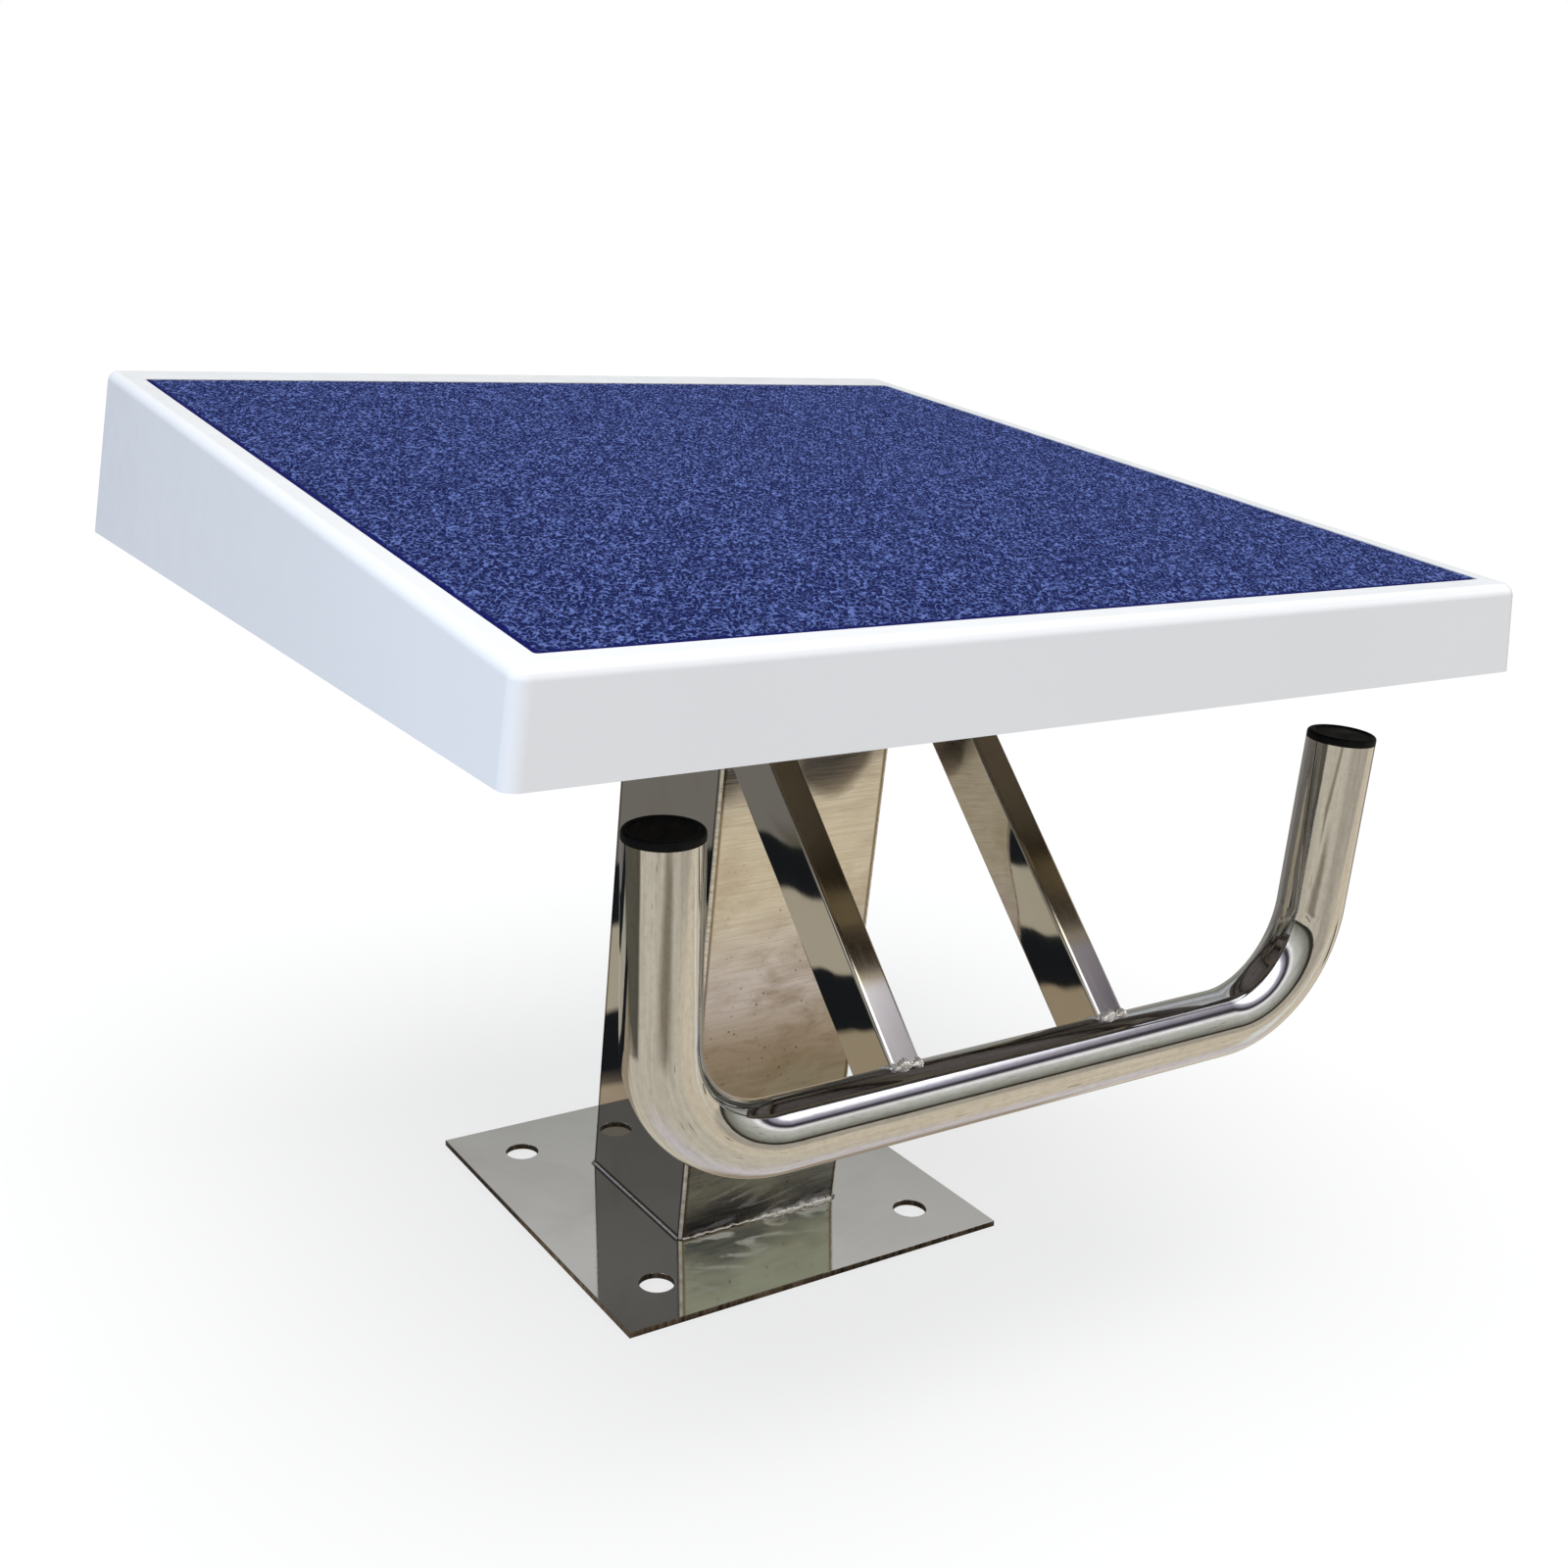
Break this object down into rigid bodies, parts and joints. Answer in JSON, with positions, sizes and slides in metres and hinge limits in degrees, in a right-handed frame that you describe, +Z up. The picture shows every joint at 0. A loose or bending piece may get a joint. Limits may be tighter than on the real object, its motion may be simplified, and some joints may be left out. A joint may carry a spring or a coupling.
{
  "type": "swimming starting block",
  "caption": "Poolside starting block: square post on a floor plate, sloping white moulded top with a blue anti-slip surface, and a U-shaped backstroke hand bar on two struts.",
  "frame": {"origin": "Middle of the floor plate's underside, on the deck that the block stands on.", "axes": "+Z up; -Y towards the pool, where the low edge of the top and the hand bar are; +X to the right as seen from the pool, as left and right are in the names. The block is symmetrical about X = 0."},
  "size_m": [0.634, 0.6389, 0.5242],
  "materials": {
    "polished_stainless": "polished",
    "mill_stainless": "satin",
    "fastener_stainless": "satin",
    "insert_brass": "satin",
    "white_gelcoat": "gloss",
    "blue_grit": "matte",
    "black_plastic": "satin"
  },
  "bodies": {
    "root": {"base_plate": "polished_stainless", "column_front": "polished_stainless", "column_right": "polished_stainless", "column_rear": "polished_stainless", "column_left": "polished_stainless", "head_plate": "mill_stainless", "rail_left": "mill_stainless", "rail_right": "mill_stainless", "rail_front": "mill_stainless", "rail_rear": "mill_stainless", "rail_mid_left": "mill_stainless", "rail_mid_right": "mill_stainless", "top_shell": "white_gelcoat", "antislip_deck": "blue_grit", "strut_left": "polished_stainless", "strut_right": "polished_stainless", "grip_bar": "polished_stainless", "grip_cap_left": "black_plastic", "grip_cap_right": "black_plastic", "top_bolt_left_front": "fastener_stainless", "top_bolt_left_middle": "fastener_stainless", "top_bolt_left_rear": "fastener_stainless", "top_bolt_right_front": "fastener_stainless", "top_bolt_right_middle": "fastener_stainless", "top_bolt_right_rear": "fastener_stainless", "top_washer_left_front": "fastener_stainless", "top_washer_left_middle": "fastener_stainless", "top_washer_left_rear": "fastener_stainless", "top_washer_right_front": "fastener_stainless", "top_washer_right_middle": "fastener_stainless", "top_washer_right_rear": "fastener_stainless", "top_insert_left_front": "insert_brass", "top_insert_left_middle": "insert_brass", "top_insert_left_rear": "insert_brass", "top_insert_right_front": "insert_brass", "top_insert_right_middle": "insert_brass", "top_insert_right_rear": "insert_brass"}
  },
  "joints": []
}
